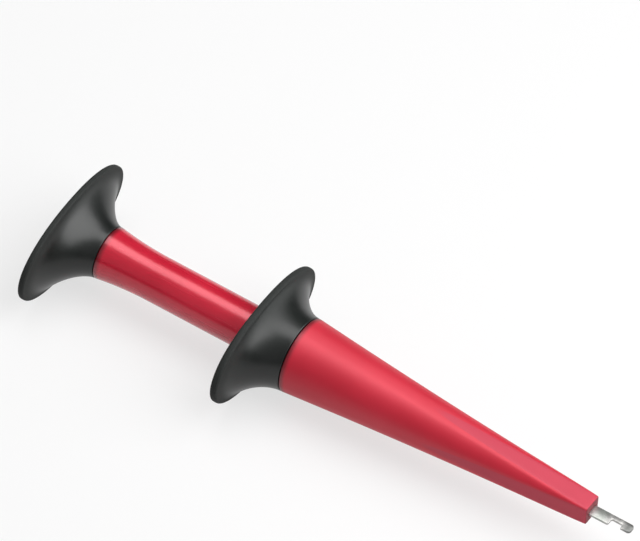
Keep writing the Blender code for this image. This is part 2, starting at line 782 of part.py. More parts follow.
def crimp_sleeve():
    """Sleeve crimped on the contact's tail and on the rod, with a groove at each crimp."""
    grooves = (ROD_BACK + CRIMP_ON_ROD, TAIL_END - CRIMP_ON_TAIL)
    outline = [(CRIMP_FRONT, CRIMP_RADIUS)]
    for station in grooves:
        outline += [
            (station + CRIMP_HALF_WIDTH, CRIMP_RADIUS),
            (station, CRIMP_RADIUS - CRIMP_DIP),
            (station - CRIMP_HALF_WIDTH, CRIMP_RADIUS),
        ]
    outline += [
        (CRIMP_BACK, CRIMP_RADIUS),
        (CRIMP_BACK, TAIL_BORE),
        (TAIL_END + END_GAP / 2, TAIL_BORE),
        (TAIL_END + END_GAP / 2, ROD_BORE),
        (CRIMP_FRONT, ROD_BORE),
    ]
    return turned("crimp_sleeve", outline, SMALL_STEPS)


def hook_rod():
    """Round rod that carries push and current from the socket to the hook."""
    outline = [
        (ROD_FRONT, 0.0),
        (ROD_FRONT, ROD_RADIUS),
        (ROD_BACK, ROD_RADIUS),
        (ROD_BACK, 0.0),
    ]
    return turned("hook_rod", outline, SMALL_STEPS, closed=False)


def rod_sleeve():
    """Insulating sleeve over the rod."""
    outline = tube_outline(ROD_SLEEVE_BACK, ROD_SLEEVE_FRONT, ROD_SLEEVE_RADIUS, ROD_BORE)
    return turned("rod_sleeve", outline, SMALL_STEPS)


def hook_ferrule():
    """Ferrule pressed on the rod's end and on the hook's tail."""
    outline = tube_outline(FERRULE_BACK, FERRULE_FRONT, FERRULE_RADIUS, ROD_BORE, FERRULE_CHAMFER)
    return turned("hook_ferrule", outline, SMALL_STEPS)


def hook_blade():
    """Flat plated hook: shank, notch for the wire, thin strip and turned-down bill."""
    half = BLADE_WIDTH / 2
    tail = BLADE_TAIL_WIDTH / 2
    shank_back = FERRULE_FRONT + END_GAP
    bill_back = HOOK_END - BILL_LENGTH
    throat_back = bill_back - THROAT_LENGTH
    roof = half - HOOK_STRIP
    corner = THROAT_CORNER
    nose = BILL_ROUNDING
    bill_low = half - BILL_DEPTH
    outline = [(BLADE_BACK, -tail), (shank_back, -tail), (shank_back, -half)]
    outline += arc((throat_back - corner, -half + corner), corner, -90, 0, 3)
    outline += arc((throat_back + corner, roof - corner), corner, 180, 90, 3)
    outline += arc((bill_back - corner, roof - corner), corner, 90, 0, 3)
    outline += arc((bill_back + BILL_CORNER, bill_low + BILL_CORNER), BILL_CORNER, 180, 270, 2)
    outline += arc((HOOK_END - nose, bill_low + nose), nose, 270, 360, 4)
    outline += arc((HOOK_END - nose, half - nose), nose, 0, 90, 4)
    outline += [(shank_back, half), (shank_back, tail), (BLADE_BACK, tail)]
    return flat_plate("hook_blade", outline, BLADE_THICKNESS)


def build():
    start_clean()
    parts = collection("grabber_test_hook")
    cutters = collection("cutters")

    red = finish_material("red_gloss_plastic", (0.56, 0.02, 0.045), 0.25)
    soft = finish_material("soft_black_rubber", (0.028, 0.031, 0.030), 0.55)
    hard = finish_material("hard_black_plastic", (0.02, 0.02, 0.02), 0.40)
    bearing = finish_material("natural_acetal", (0.72, 0.70, 0.64), 0.35)
    nickel = finish_material("nickel_plate", (0.62, 0.61, 0.58), 0.22, 1.0)
    steel = finish_material("spring_steel", (0.50, 0.50, 0.50), 0.30, 1.0)
    clear = finish_material("rod_insulation", (0.60, 0.58, 0.52), 0.45)

    place = (-MIDDLE, 0.0, axis_height())
    barrel = bpy.data.objects.new("barrel_axis", None)
    plunger = bpy.data.objects.new("plunger_axis", None)
    for empty in (barrel, plunger):
        empty.location = place
        parts.objects.link(empty)

    held = [
        (finger_grip(), soft),
        (collar_core(), hard),
        (guide_bush(), bearing),
        (snap_ring(), steel),
        (spring_washer(), steel),
        (return_spring(), steel),
        (nose_shell(barrel, cutters), red),
    ]
    sliding = [
        (thumb_grip(), soft),
        (thumb_core(), hard),
        (plunger_tube(), red),
        (plunger_stop(), bearing),
        (rod_plug(), hard),
        (spring_cup(), steel),
        (jack_insulator(), hard),
        (contact_socket(), nickel),
        (contact_clip(), steel),
        (crimp_sleeve(), nickel),
        (hook_rod(), nickel),
        (rod_sleeve(), clear),
        (hook_ferrule(), nickel),
        (hook_blade(), nickel),
    ]
    for axis, pieces in ((barrel, held), (plunger, sliding)):
        for piece, material in pieces:
            placed(piece, axis, parts)
            if piece.type == "MESH":
                frozen(piece)
            piece.data.materials.clear()
            piece.data.materials.append(material)


build()
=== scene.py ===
import json
import math

import bmesh
import bpy
from mathutils import Matrix, Vector


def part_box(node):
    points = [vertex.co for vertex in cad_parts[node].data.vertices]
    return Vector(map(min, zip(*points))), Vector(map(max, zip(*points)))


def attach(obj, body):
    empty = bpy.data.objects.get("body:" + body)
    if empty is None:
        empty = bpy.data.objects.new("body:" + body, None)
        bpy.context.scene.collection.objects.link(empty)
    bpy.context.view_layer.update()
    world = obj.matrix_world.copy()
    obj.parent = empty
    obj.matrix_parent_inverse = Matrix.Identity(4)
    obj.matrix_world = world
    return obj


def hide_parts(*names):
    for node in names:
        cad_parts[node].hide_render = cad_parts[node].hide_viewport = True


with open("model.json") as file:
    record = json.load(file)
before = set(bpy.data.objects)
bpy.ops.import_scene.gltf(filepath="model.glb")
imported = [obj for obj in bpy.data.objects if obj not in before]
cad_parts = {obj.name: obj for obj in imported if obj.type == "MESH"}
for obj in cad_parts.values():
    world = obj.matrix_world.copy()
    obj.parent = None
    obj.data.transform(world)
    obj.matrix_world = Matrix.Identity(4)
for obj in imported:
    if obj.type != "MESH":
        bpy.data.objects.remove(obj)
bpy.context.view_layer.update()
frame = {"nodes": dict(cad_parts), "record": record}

MM = 0.001


# Where the solids are: the tool's axis runs along X
def ends(node):
    """The lowest and highest x of a solid."""
    low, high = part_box(node)
    return low.x, high.x


def radius_of(node):
    """Half the height of a solid."""
    low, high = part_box(node)
    return (high.z - low.z) / 2


AXIS_Z = sum(corner.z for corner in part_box("hook_rod")) / 2
THUMB_BACK, THUMB_SEAM = ends("thumb_grip")
COLLAR_BACK, COLLAR_SEAM = ends("finger_grip")
NOSE_REAR, NOSE_TIP = ends("nose_shell")
WELL_MOUTH, STEM_FRONT = ends("plunger_tube")
BLADE_REAR, HOOK_END = ends("hook_blade")
GRIP_HALF_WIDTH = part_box("thumb_grip")[1].y
GRIP_HALF_HEIGHT = AXIS_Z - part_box("thumb_grip")[0].z
GRIP_SQUARENESS = 2.1

# Gaps and small broken edges
SEAT_GAP = 0.10 * MM
END_GAP = 0.15 * MM
EDGE = 0.10 * MM

# The grips: the roll at the seam, the land on the rim, and the hard plate inside
SEAM_ROLL = 0.28 * MM
RIM_LAND = 0.6 * MM
PLATE_DEPTH = 0.85 * MM
PLATE_THICKNESS = 1.2 * MM
PLATE_MARGIN = 3.8 * MM
PLATE_LEDGE = 0.5 * MM

# The plunger: radii of its tube, and the place of the socket's flange
STEM = 6.05 * MM
NECK = 7.25 * MM
NECK_LENGTH = 15.0 * MM
SPIGOT = 6.75 * MM
PLUG_WELL = 5.60 * MM
TUBE_BORE = 4.60 * MM
JACK_FLANGE = 15.8 * MM

# The nose, and the sleeve of the collar core that plugs into it
NOSE_BACK = 10.25 * MM
NOSE_LENGTH = NOSE_TIP - COLLAR_SEAM
NOSE_SAG = 0.43 * MM
NOSE_SPIGOT = 9.27 * MM
CORE_SLEEVE = 8.27 * MM
CORE_HUB = CORE_SLEEVE + 0.75 * MM
SNAP_GROOVE = 0.45 * MM
TIP_CORNER = 3.95 * MM
TIP_HALF_WIDTH = 2.85 * MM
FLAT_LENGTH = 49.0 * MM
FLAT_START = NOSE_TIP - FLAT_LENGTH

# The hook
BLADE_WIDTH = 3.30 * MM
BLADE_THICKNESS = 0.70 * MM


# Modelling by hand: rings drawn out along the axis
def first_ring(name, x, radius, sides):
    """A circle round the tool's axis. Its place is in its mesh, and its object is unturned."""
    bpy.ops.object.select_all(action="DESELECT")
    bpy.ops.mesh.primitive_circle_add(
        vertices=sides, radius=radius, location=(x, 0.0, AXIS_Z), rotation=(0.0, math.pi / 2, 0.0)
    )
    obj = bpy.context.active_object
    obj.name = name
    obj.data.name = name
    bpy.ops.object.transform_apply(location=True, rotation=True, scale=True)
    return obj


def press_ring(obj, radius_at):
    """The selected ring takes its own radius at each angle round the axis."""
    shape = bmesh.from_edit_mesh(obj.data)
    for vertex in shape.verts:
        if vertex.select:
            angle = math.atan2(vertex.co.z - AXIS_Z, vertex.co.y)
            radius = radius_at(angle)
            vertex.co.y = radius * math.cos(angle)
            vertex.co.z = AXIS_Z + radius * math.sin(angle)
    bmesh.update_edit_mesh(obj.data)


def draw_ring(x_step, scale, x):
    """Extrudes the selected ring along the axis, then scales it about the axis."""
    bpy.ops.mesh.extrude_region_move(TRANSFORM_OT_translate={"value": (x_step, 0.0, 0.0)})
    bpy.ops.transform.resize(value=(1.0, scale, scale), center_override=(x, 0.0, AXIS_Z))


def finish_skin(obj):
    """Closes the skin's seam, turns its faces outwards and shades it."""
    bpy.ops.mesh.select_all(action="SELECT")
    bpy.ops.mesh.remove_doubles(threshold=0.001 * MM)
    bpy.ops.mesh.normals_make_consistent(inside=False)
    bpy.ops.mesh.select_all(action="DESELECT")
    bpy.ops.object.mode_set(mode="OBJECT")
    bpy.ops.object.shade_smooth_by_angle(angle=math.radians(32))
    return obj


def turned(name, outline, sides=128, closed=True):
    """A turned piece from (x, radius) points: back along the outside, forward along the bore.

    An open outline starts with a filled ring and ends with that face, as a blind bore's floor.
    """
    x, radius = outline[0]
    obj = first_ring(name, x, radius, sides)
    bpy.ops.object.mode_set(mode="EDIT")
    bpy.ops.mesh.select_all(action="SELECT")
    if not closed:
        bpy.ops.mesh.edge_face_add()
    points = outline[1:] + ([outline[0]] if closed else [])
    for next_x, next_radius in points:
        draw_ring(next_x - x, next_radius / radius, next_x)
        x, radius = next_x, next_radius
    return finish_skin(obj)


def pressed(name, rings, sides=128):
    """A closed piece from (x, form) rings, drawn out in turn and back to the first.

    A ring's form is its radius, or a rule that gives its radius at an angle round the axis.
    """
    rings = [(x, form if callable(form) else round_ring(form)) for x, form in rings]
    x, radius_at = rings[0]
    obj = first_ring(name, x, radius_at(0.0), sides)
    bpy.ops.object.mode_set(mode="EDIT")
    bpy.ops.mesh.select_all(action="SELECT")
    press_ring(obj, radius_at)
    for next_x, next_radius_at in rings[1:] + rings[:1]:
        draw_ring(next_x - x, 1.0, next_x)
        press_ring(obj, next_radius_at)
        x = next_x
    return finish_skin(obj)


# Runs of points
def arc(x, radius, size, start, end, steps):
    """(x, radius) points on an arc between two angles in degrees, counted from forwards."""
    turns = [math.radians(start + (end - start) * i / steps) for i in range(steps + 1)]
    return [(x + size * math.cos(t), radius + size * math.sin(t)) for t in turns]


def outer_edge(x, radius, size, sag):
    """Three points over the outer edge at a piece's back, on the way back."""
    return [(x + size, radius), (x + sag, radius - sag), (x, radius - size)]


def bore_edge(x, radius, size, sag):
    """Three points over the edge of a bore at a piece's back, on the way forward."""
    return [(x, radius + size), (x + sag, radius + sag), (x + size, radius)]


# Forms of rings
def oval(angle):
    """The radius of a grip's oval, at an angle from its long axis."""
    across = abs(math.cos(angle) / GRIP_HALF_WIDTH) ** GRIP_SQUARENESS
    upright = abs(math.sin(angle) / GRIP_HALF_HEIGHT) ** GRIP_SQUARENESS
    return (across + upright) ** (-1 / GRIP_SQUARENESS)


def round_ring(radius):
    return lambda angle: radius


def oval_ring(inset, least=0.0):
    """A ring inside the oval by so much, but no smaller than a hub."""
    return lambda angle: max(oval(angle) - inset, least)


def spread_ring(seam_radius, inset, share):
    """A ring part of the way from a round seam to the oval."""
    return lambda angle: seam_radius + (oval(angle) - inset - seam_radius) * share


def slot_ring(half_width, half_height):
    """A flat slot's outline, wide along Y."""

    def radius_at(angle):
        across = half_width / max(abs(math.cos(angle)), 1e-6)
        upright = half_height / max(abs(math.sin(angle)), 1e-6)
        return min(across, upright)

    return radius_at


def nose_cone(x):
    """The nose's round outside: a cone that sags a little."""
    share = (x - COLLAR_SEAM) / NOSE_LENGTH
    return NOSE_BACK + (TIP_CORNER - NOSE_BACK) * share - 4 * NOSE_SAG * share * (1 - share)


def softer(first, second, reach):
    """The lesser of two radii, rounded over where they meet."""
    near = max(reach - abs(first - second), 0.0) / reach
    return min(first, second) - near**2 * reach / 4


def nose_ring(x, inset=0.0):
    """The nose's section: the cone, pressed in by the four flats that lean towards the tip."""
    slope = (nose_cone(FLAT_START) - TIP_HALF_WIDTH) / FLAT_LENGTH
    flat = TIP_HALF_WIDTH + slope * (NOSE_TIP - x)
    cone = nose_cone(x)
    corner_reach = 0.45 * MM

    def radius_at(angle):
        radius = cone
        for side in range(4):
            facing = math.cos(angle - side * math.pi / 2)
            # A flat on another side doesn't reach this angle
            if facing > 0.3:
                radius = softer(radius, flat / facing, corner_reach)
        return radius - inset

    return radius_at


def neck_radius(x):
    """The plunger tube's outside: the stem, widening towards the thumb seam."""
    share = max(0.0, 1 - (x - THUMB_SEAM) / NECK_LENGTH)
    return STEM + (NECK - STEM) * share**2


# Soft grips
def trumpet_rings(seam, seam_radius, depth, rim, fullness, lean):
    """A grip's outside: from its rolled seam edge out to the rim, over its land and to the back.

    The rim leans forwards a little from the flat middle of the back.
    """
    corner = (rim - RIM_LAND) / 2
    rings = []
    for step in range(5):
        turn = math.radians(90 * step / 4)
        x = seam - SEAM_ROLL + SEAM_ROLL * math.cos(turn)
        rings.append((x, seam_radius - SEAM_ROLL + SEAM_ROLL * math.sin(turn)))
    steps = 26
    for step in range(1, steps + 1):
        turn = math.pi / 2 * step / steps
        fall = math.sin(turn) ** (2 / fullness)
        share = 1 - max(math.cos(turn), 0.0) ** (2 / fullness)
        x = seam - SEAM_ROLL - (depth - lean - SEAM_ROLL) * fall
        rings.append((x, spread_ring(seam_radius, corner, share)))
    back = seam - depth - rim
    corner_steps = 6
    centres = (back + lean + rim - corner, back + lean + corner)
    for quarter, centre in enumerate(centres):
        for step in range(1 - quarter, corner_steps + 1):
            turn = math.pi / 2 * (quarter + step / corner_steps)
            x = centre + corner * math.cos(turn)
            rings.append((x, oval_ring(corner - corner * math.sin(turn))))
    lean_width = 3.0 * MM
    for step in range(1, 5):
        share = step / 4
        x = back + lean * (1 - share) ** 2
        rings.append((x, oval_ring(corner + lean_width * share)))
    return rings


def pocket_rings(back, bore, hub):
    """A grip's inside, from the bore's edge at the back to the front of the hard plate's pocket."""
    pocket_back = back + PLATE_DEPTH
    pocket_front = pocket_back + PLATE_THICKNESS + 2 * SEAT_GAP
    pocket = oval_ring(PLATE_MARGIN - SEAT_GAP, hub + PLATE_LEDGE)
    return [
        *bore_edge(back, bore, size=0.35 * MM, sag=0.1 * MM),
        (pocket_back, bore),
        (pocket_back, pocket),
        (pocket_front, pocket),
        (pocket_front, hub),
    ]


def thumb_grip():
    """Soft thumb grip, with its bore and the pocket of its hard core."""
    bore = SPIGOT + SEAT_GAP
    hub = bore + 1.1 * MM + SEAT_GAP
    rings = trumpet_rings(
        THUMB_SEAM, NECK, depth=10.7 * MM, rim=1.7 * MM, fullness=1.44, lean=0.45 * MM
    )
    rings += pocket_rings(THUMB_BACK, bore, hub)
    pocket_front = rings[-1][0]
    hub_front = pocket_front + 4.2 * MM
    rings += [(hub_front, hub), (hub_front, bore), (THUMB_SEAM - EDGE, bore)]
    return pressed("thumb_grip_soft", rings)


def finger_grip():
    """Soft finger grip, with the pocket of the collar core and of the nose's back end."""
    bore = CORE_HUB + SEAT_GAP
    seat = NOSE_SPIGOT + SEAT_GAP
    seat_back = NOSE_REAR - END_GAP
    rings = trumpet_rings(
        COLLAR_SEAM, NOSE_BACK, depth=10.8 * MM, rim=2.0 * MM, fullness=1.575, lean=0.70 * MM
    )
    rings += pocket_rings(COLLAR_BACK, bore, bore)
    rings += [(seat_back, bore), (seat_back, seat), (COLLAR_SEAM - EDGE, seat)]
    return pressed("finger_grip_soft", rings)


# Red shells
def nose_shell():
    """Long nose: round at the collar, with four flats, and a slot for the blade in its tip."""
    edge = 0.30 * MM
    seam = COLLAR_SEAM + END_GAP
    start = seam + edge
    tip_start = NOSE_TIP - edge
    slot_back = NOSE_TIP - 6.5 * MM
    play = 0.12 * MM
    flare = 0.15 * MM
    slot = slot_ring(BLADE_WIDTH / 2 + play, BLADE_THICKNESS / 2 + play)
    mouth = slot_ring(BLADE_WIDTH / 2 + play + flare, BLADE_THICKNESS / 2 + play + flare)
    rings = [(slot_back, slot), (NOSE_TIP - flare, slot), (NOSE_TIP, mouth)]
    for step in range(6):
        turn = math.radians(90 * step / 5)
        x = tip_start + edge * math.cos(turn)
        rings.append((x, nose_ring(x, edge - edge * math.sin(turn))))
    count = 84
    for step in range(1, count + 1):
        x = tip_start + (start - tip_start) * step / count
        rings.append((x, nose_ring(x)))
    for step in range(1, 5):
        turn = math.radians(90 + 90 * step / 4)
        x = start + edge * math.cos(turn)
        rings.append((x, nose_ring(start, edge - edge * math.sin(turn))))

    ring_back, ring_front = ends("snap_ring")
    rear_bore = CORE_SLEEVE + SEAT_GAP
    rear_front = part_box("collar_core")[1].x + 2 * END_GAP
    main_bore = 7.14 * MM
    main_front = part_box("spring_cup")[1].x + END_GAP
    seat_bore = radius_of("spring_washer") + 0.30 * MM
    seat_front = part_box("spring_washer")[1].x + END_GAP
    rod_bore = 3.05 * MM
    rod_bore_front = 2.50 * MM
    rings += [
        (seam, NOSE_SPIGOT),
        (NOSE_REAR, NOSE_SPIGOT),
        (NOSE_REAR, rear_bore + 2 * EDGE),
        (NOSE_REAR + 2 * EDGE, rear_bore),
        (ring_back - SEAT_GAP, rear_bore),
        (ring_back - SEAT_GAP, rear_bore + SNAP_GROOVE),
        (ring_front + SEAT_GAP, rear_bore + SNAP_GROOVE),
        (ring_front + SEAT_GAP, rear_bore),
        (rear_front, rear_bore),
        (rear_front, main_bore),
        (main_front, main_bore),
        (seat_front, seat_bore),
        (seat_front, rod_bore),
        (slot_back, rod_bore_front),
    ]
    return pressed("nose_shell_red", rings)


def plunger_tube():
    """Red tube: stem and widened neck, with the plug well in its back."""
    neck_front = THUMB_SEAM + NECK_LENGTH
    edge = 0.25 * MM
    seam = THUMB_SEAM + END_GAP
    seam_front = seam + edge
    stop_seat = STEM - 0.85 * MM
    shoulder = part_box("plunger_stop")[0].x - END_GAP
    shoulder_edge = 0.3 * MM
    outline = [
        (STEM_FRONT, stop_seat),
        (shoulder, stop_seat),
        (shoulder, STEM - shoulder_edge),
        (shoulder - shoulder_edge, STEM),
        (neck_front + 1 * MM, STEM),
    ]
    count = 22
    for step in range(count + 1):
        x = neck_front + (seam_front - neck_front) * step / count
        outline.append((x, neck_radius(x)))
    outline += arc(seam_front, neck_radius(seam_front) - edge, edge, 90, 180, 4)[1:]
    outline.append((seam, SPIGOT))
    outline += outer_edge(WELL_MOUTH, SPIGOT, size=0.25 * MM, sag=0.07 * MM)
    mouth = 0.4 * MM
    outline += arc(WELL_MOUTH + mouth, PLUG_WELL + mouth, mouth, 180, 270, 5)
    well_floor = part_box("jack_insulator")[0].x + JACK_FLANGE + SEAT_GAP
    outline += [(well_floor, PLUG_WELL), (well_floor, TUBE_BORE), (STEM_FRONT, TUBE_BORE)]
    return turned("plunger_tube_red", outline)


# Hook
def hook_blade():
    """Flat plated hook: shank, notch for the wire, thin strip and turned-down bill."""
    half = BLADE_WIDTH / 2
    roof = half - 1.35 * MM
    bill_low = half - 2.6 * MM
    bill_back = HOOK_END - 2.75 * MM
    throat_back = bill_back - 3.2 * MM
    shank_back = BLADE_REAR + 4.75 * MM
    tail_half = 0.8 * MM
    low = AXIS_Z - BLADE_THICKNESS / 2
    hair = 0.002 * MM

    bpy.ops.object.select_all(action="DESELECT")
    bpy.ops.mesh.primitive_plane_add(size=1.0, location=(0.0, 0.0, 0.0))
    obj = bpy.context.active_object
    obj.name = "hook_blade_plated"
    obj.data.name = obj.name
    obj.scale = (throat_back - shank_back, roof + half, 1.0)
    obj.location = ((throat_back + shank_back) / 2, (roof - half) / 2, low)
    bpy.ops.object.transform_apply(location=True, rotation=True, scale=True)
    bpy.ops.object.mode_set(mode="EDIT")

    def near(value, wanted):
        return abs(value - wanted) < hair

    def pick(test):
        """Selects the edges whose two ends both pass."""
        bpy.ops.mesh.select_all(action="DESELECT")
        bpy.ops.mesh.select_mode(type="EDGE")
        shape = bmesh.from_edit_mesh(obj.data)
        for piece in shape.edges:
            piece.select = all(test(v.co) for v in piece.verts)
        shape.select_flush_mode()
        bmesh.update_edit_mesh(obj.data)

    def draw(x, y, z):
        bpy.ops.mesh.extrude_region_move(TRANSFORM_OT_translate={"value": (x, y, z)})

    # The flat outline: from the shank to the strip, the bill and then the tail
    pick(lambda p: near(p.y, roof))
    draw(0.0, half - roof, 0.0)
    pick(lambda p: near(p.x, throat_back) and p.y > roof - hair)
    draw(bill_back - throat_back, 0.0, 0.0)
    draw(HOOK_END - bill_back, 0.0, 0.0)
    pick(lambda p: near(p.y, roof) and p.x > bill_back - hair)
    draw(0.0, bill_low - roof, 0.0)
    pick(lambda p: near(p.x, shank_back) and p.y < roof + hair)
    draw(BLADE_REAR - shank_back, 0.0, 0.0)
    middle = (BLADE_REAR, (roof - half) / 2, low)
    narrower = 2 * tail_half / (roof + half)
    bpy.ops.transform.resize(value=(1.0, narrower, 1.0), center_override=middle)
    bpy.ops.transform.translate(value=(0.0, -(roof - half) / 2, 0.0))

    bpy.ops.mesh.select_mode(type="FACE")
    bpy.ops.mesh.select_all(action="SELECT")
    draw(0.0, 0.0, BLADE_THICKNESS)
    bpy.ops.mesh.select_all(action="SELECT")
    bpy.ops.mesh.remove_doubles(threshold=0.001 * MM)
    bpy.ops.mesh.normals_make_consistent(inside=False)

    corners = (
        (throat_back, roof, 0.45 * MM, 8),
        (bill_back, roof, 0.45 * MM, 8),
        (throat_back, -half, 0.45 * MM, 8),
        (HOOK_END, bill_low, 0.90 * MM, 10),
        (HOOK_END, half, 0.90 * MM, 10),
        (bill_back, bill_low, 0.15 * MM, 4),
    )
    for x, y, size, segments in corners:
        pick(lambda p: near(p.x, x) and near(p.y, y))
        bpy.ops.mesh.bevel(offset=size, segments=segments, affect="EDGES")
    bpy.ops.object.mode_set(mode="OBJECT")

    rounding = obj.modifiers.new("edge rounding", "BEVEL")
    rounding.width = 0.07 * MM
    rounding.segments = 3
    rounding.limit_method = "ANGLE"
    rounding.angle_limit = math.radians(50)
    bpy.ops.object.modifier_apply(modifier=rounding.name)
    bpy.ops.object.shade_smooth_by_angle(angle=math.radians(40))
    return obj


# Inner pieces that show in the plug well and round the stem
def jack_insulator():
    """Insulating socket body: a sleeve round the contact, on a flange at the well's floor."""
    mouth, front = ends("jack_insulator")
    flange_front = mouth + JACK_FLANGE
    flange_back = flange_front - 1.5 * MM
    flange = PLUG_WELL - SEAT_GAP
    sleeve = 3.30 * MM
    fillet = 0.5 * MM
    sleeve_edge = 0.25 * MM
    bore = 2.60 * MM
    mouth_edge = 0.15 * MM
    inner_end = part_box("contact_clip")[0].x - 1.9 * MM - END_GAP
    tail_bore = 1.35 * MM
    outline = [
        (front, TUBE_BORE - SEAT_GAP),
        (flange_front, TUBE_BORE - SEAT_GAP),
        (flange_front, flange),
        (flange_back + 2 * EDGE, flange),
        (flange_back, flange - 2 * EDGE),
    ]
    outline += arc(flange_back - fillet, sleeve + fillet, fillet, 0, -90, 5)
    outline += arc(mouth + sleeve_edge, sleeve - sleeve_edge, sleeve_edge, 90, 180, 4)
    outline += arc(mouth + mouth_edge, bore + mouth_edge, mouth_edge, 180, 270, 3)
    outline += [(inner_end, bore), (inner_end, tail_bore), (front, tail_bore)]
    return turned("jack_insulator_moulded", outline, sides=96)


def contact_socket():
    """Plated contact: a tube that takes the 4 mm pin, with a grooved tail for the rod."""
    mouth, tail_end = ends("contact_socket")
    clip_back, clip_front = ends("contact_clip")
    tube_front = mouth + 20.5 * MM
    tube = 2.50 * MM
    tail = 1.25 * MM
    groove = tail - 0.25 * MM
    pin = 2.03 * MM
    pin_floor = mouth + 19.0 * MM
    lead_in = 0.25 * MM
    outline = [
        (tail_end, tail - 2 * EDGE),
        (tail_end - 2 * EDGE, tail),
        (clip_front + SEAT_GAP, tail),
        (clip_front + SEAT_GAP, groove),
        (clip_back - SEAT_GAP, groove),
        (clip_back - SEAT_GAP, tail),
        (tube_front, tail),
        (tube_front, tube),
        (mouth + EDGE, tube),
        (mouth, tube - EDGE),
        (mouth, pin + lead_in),
        (mouth + 0.08 * MM, pin + 0.1 * MM),
        (mouth + lead_in, pin),
        (pin_floor, pin),
    ]
    return turned("contact_socket_plated", outline, sides=96, closed=False)


def guide_bush():
    """Plain bearing for the stem, with a flange at its back."""
    back, front = ends("guide_bush")
    flange = radius_of("guide_bush")
    flange_front = back + 0.8 * MM
    flange_edge = 0.15 * MM
    outer = 7.07 * MM
    bore = STEM + 0.12 * MM
    outline = [
        (front, outer),
        (flange_front, outer),
        (flange_front, flange),
        (back + flange_edge, flange),
        (back, flange - flange_edge),
        *bore_edge(back, bore, size=0.2 * MM, sag=0.06 * MM),
        (front, bore),
    ]
    return turned("guide_bush_bearing", outline)


def collar_core():
    """Hard oval plate with the sleeve that plugs into the nose shell and carries the bush."""
    back, front = ends("collar_core")
    plate_back = COLLAR_BACK + PLATE_DEPTH + SEAT_GAP
    plate_front = plate_back + PLATE_THICKNESS
    plate = oval_ring(PLATE_MARGIN, CORE_HUB + PLATE_LEDGE)
    hub_front = NOSE_REAR - END_GAP
    ring_back, ring_front = ends("snap_ring")
    recess = radius_of("guide_bush") + SEAT_GAP
    recess_front = back + 0.9 * MM
    bore = 7.17 * MM
    lip = STEM + 0.24 * MM
    lip_back = front - 1.2 * MM
    rings = [
        (front, CORE_SLEEVE - EDGE),
        (front - EDGE, CORE_SLEEVE),
        (ring_front + SEAT_GAP, CORE_SLEEVE),
        (ring_front + SEAT_GAP, CORE_SLEEVE - SNAP_GROOVE),
        (ring_back - SEAT_GAP, CORE_SLEEVE - SNAP_GROOVE),
        (ring_back - SEAT_GAP, CORE_SLEEVE),
        (hub_front, CORE_SLEEVE),
        (hub_front, CORE_HUB),
        (plate_front, CORE_HUB),
        (plate_front, plate),
        (plate_back, plate),
        (plate_back, CORE_HUB),
        *outer_edge(back, CORE_HUB, size=0.2 * MM, sag=0.06 * MM),
        (back, recess + EDGE),
        (back + EDGE, recess),
        (recess_front, recess),
        (recess_front, bore),
        (lip_back, bore),
        (lip_back, lip),
        (front, lip),
    ]
    return pressed("collar_core_hard", rings)


# Materials: sums on what changes over a surface
class Field:
    """A socket that takes part in Python's sums, and from which other nodes are added."""

    def __init__(self, tree, socket):
        self.tree = tree
        self.socket = socket

    def node(self, kind, settings=None, inputs=None, output=0):
        """Adds a node: its settings are set first, then the values or links of its sockets."""
        made = self.tree.nodes.new(kind)
        for key, value in (settings or {}).items():
            setattr(made, key, value)
        for key, value in (inputs or {}).items():
            plug(self.tree, made.inputs[key], value)
        return Field(self.tree, made.outputs[output])

    def other(self, name):
        """Another output of the node that this field comes from."""
        return Field(self.tree, self.socket.node.outputs[name])

    def math(self, operation, *values):
        return self.node("ShaderNodeMath", {"operation": operation}, dict(enumerate(values)))

    def __add__(self, other):
        return self.math("ADD", self, other)

    def __radd__(self, other):
        return self.math("ADD", other, self)

    def __sub__(self, other):
        return self.math("SUBTRACT", self, other)

    def __rsub__(self, other):
        return self.math("SUBTRACT", other, self)

    def __mul__(self, other):
        return self.math("MULTIPLY", self, other)

    def __rmul__(self, other):
        return self.math("MULTIPLY", other, self)

    def __truediv__(self, other):
        return self.math("DIVIDE", self, other)

    def __pow__(self, other):
        return self.math("POWER", self, other)

    def size(self):
        return self.math("ABSOLUTE", self)

    def least(self, other):
        return self.math("MINIMUM", self, other)

    def most(self, other):
        return self.math("MAXIMUM", self, other)

    def rise(self, low, high):
        """0 below one value, 1 above the other, and smooth between."""
        settings = {"interpolation_type": "SMOOTHSTEP"}
        return self.node("ShaderNodeMapRange", settings, {0: self, 1: low, 2: high})

    def noise(self, scale, detail=2.0, roughness=0.5):
        """A cloudy pattern, from a place on the piece. Its scale is in lumps a metre."""
        inputs = {"Vector": self, "Scale": scale, "Detail": detail, "Roughness": roughness}
        return self.node("ShaderNodeTexNoise", None, inputs)

    def stretched(self, x, y, z):
        """A place whose three parts are scaled, for patterns that run one way."""
        return self.node("ShaderNodeMapping", None, {"Vector": self, "Scale": (x, y, z)})

    def between(self, first, second):
        """A colour part of the way from one to another."""
        return self.node("ShaderNodeMix", {"data_type": "RGBA"}, {0: self, 6: first, 7: second}, 2)


def plug(tree, socket, value):
    """Links a field to a socket, or sets the socket's own value."""
    if isinstance(value, Field):
        tree.links.new(value.socket, socket)
    elif socket.type == "RGBA":
        socket.default_value = (*value, 1.0)
    else:
        socket.default_value = value


